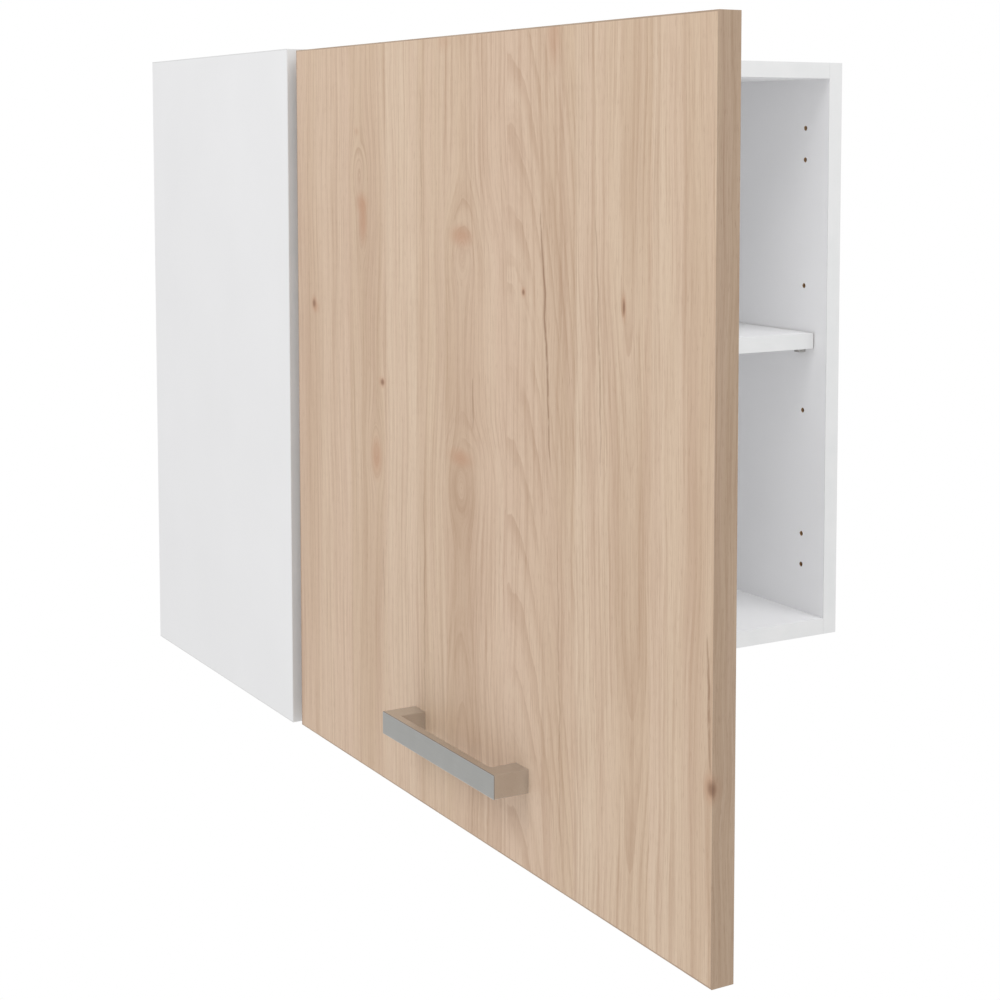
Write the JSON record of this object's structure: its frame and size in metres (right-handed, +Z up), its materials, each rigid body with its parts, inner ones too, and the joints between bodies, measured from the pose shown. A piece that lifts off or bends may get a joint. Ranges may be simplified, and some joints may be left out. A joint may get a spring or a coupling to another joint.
{
  "type": "hanging wall cabinet",
  "caption": "Frameless white wall cabinet with a wood decor door standing open on concealed hinges, a bar handle and a loose shelf on pins.",
  "frame": {"origin": "middle of the width, on the wall plane, at the underside of the bottom board", "axes": "+X right as seen from the room, +Y into the wall, +Z up; the front faces -Y"},
  "size_m": [0.6232, 0.9392, 0.578],
  "materials": {
    "oak_decor_board": "matt printed wood decor on chipboard",
    "oak_decor_edge": "matt printed wood decor edge strip",
    "white_board": "white melamine on chipboard",
    "white_edge": "white edge strip",
    "white_hardboard": "thin hardboard, white lacquered",
    "beech_dowel": "plain fluted beech",
    "zinc_casting": "grey zinc casting",
    "white_plastic": "fine grained white plastic",
    "grey_plastic": "light grey plastic",
    "clear_pad": "soft translucent pad",
    "brushed_handle": "satin nickel",
    "nickel_steel": "bright nickel plated steel"
  },
  "bodies": {
    "carcass": {"left_side_panel": "white_board", "right_side_panel": "white_board", "top_panel": "white_board", "bottom_panel": "white_board", "back_panel": "white_hardboard", "left_side_front_band": "white_edge", "right_side_front_band": "white_edge", "top_front_band": "white_edge", "bottom_front_band": "white_edge", "side_end_bands": "white_edge", "corner_dowels": "beech_dowel", "cam_bolts": "nickel_steel", "cam_locks": "zinc_casting", "cam_caps": "white_plastic", "shelf_pins": "nickel_steel", "hanger_housing_left": "grey_plastic", "hanger_depth_screw_left": "nickel_steel", "hanger_height_screw_left": "nickel_steel", "hanger_cover_left": "white_plastic", "hanger_housing_right": "grey_plastic", "hanger_depth_screw_right": "nickel_steel", "hanger_height_screw_right": "nickel_steel", "hanger_cover_right": "white_plastic", "hinge_plate_lower": "nickel_steel", "hinge_plate_screws_lower": "nickel_steel", "hinge_arm_lower": "nickel_steel", "hinge_arm_screws_lower": "nickel_steel", "hinge_arm_cap_lower": "white_plastic", "hinge_arm_pin_lower": "nickel_steel", "hinge_plate_upper": "nickel_steel", "hinge_plate_screws_upper": "nickel_steel", "hinge_arm_upper": "nickel_steel", "hinge_arm_screws_upper": "nickel_steel", "hinge_arm_cap_upper": "white_plastic", "hinge_arm_pin_upper": "nickel_steel"},
    "hinge_link_lower": {"hinge_link_lower": "nickel_steel"},
    "hinge_link_upper": {"hinge_link_upper": "nickel_steel"},
    "door": {"door_panel": "oak_decor_board", "door_hinge_edge_band": "oak_decor_edge", "door_free_edge_band": "oak_decor_edge", "door_bottom_edge_band": "oak_decor_edge", "door_top_edge_band": "oak_decor_edge", "handle": "brushed_handle", "handle_screws": "nickel_steel", "bumper_pads": "clear_pad", "hinge_cup_lower": "nickel_steel", "hinge_cup_screws_lower": "nickel_steel", "hinge_cup_pin_lower": "nickel_steel", "hinge_cup_upper": "nickel_steel", "hinge_cup_screws_upper": "nickel_steel", "hinge_cup_pin_upper": "nickel_steel"},
    "shelf": {"shelf_panel": "white_board", "shelf_front_band": "white_edge"},
    "hanger_hook_left": {"hanger_hook_left": "nickel_steel"},
    "hanger_hook_right": {"hanger_hook_right": "nickel_steel"}
  },
  "joints": [
    {"name": "hinge_link_lower_turn", "type": "hinge", "parent": "carcass", "child": "hinge_link_lower", "pos_m": [-0.262, -0.3325, 0.081], "axis": [0, 0, 1], "range_deg": [-16.84, 1.59]},
    {"name": "hinge_link_upper_turn", "type": "hinge", "parent": "carcass", "child": "hinge_link_upper", "pos_m": [-0.262, -0.3325, 0.497], "axis": [0, 0, 1], "range_deg": [-16.84, 1.59]},
    {"name": "door_swing", "type": "hinge", "parent": "hinge_link_lower", "child": "door", "pos_m": [-0.28643, -0.35056, 0.081], "axis": [0, 0, 1], "range_deg": [-9.49, 106.74]},
    {"name": "shelf_lift", "type": "slide", "parent": "carcass", "child": "shelf", "axis": [0, 0, 1], "range_m": [0, 0.064]},
    {"name": "hanger_lift_left", "type": "slide", "parent": "carcass", "child": "hanger_hook_left", "axis": [0, 0, 1], "range_m": [-0.006, 0.006]},
    {"name": "hanger_lift_right", "type": "slide", "parent": "carcass", "child": "hanger_hook_right", "axis": [0, 0, 1], "range_m": [-0.006, 0.006]}
  ],
  "couplings": [
    {"joint": "hinge_link_lower_turn", "follows": "door_swing", "ratio": -0.15683},
    {"joint": "hinge_link_upper_turn", "follows": "door_swing", "ratio": -0.15683}
  ]
}
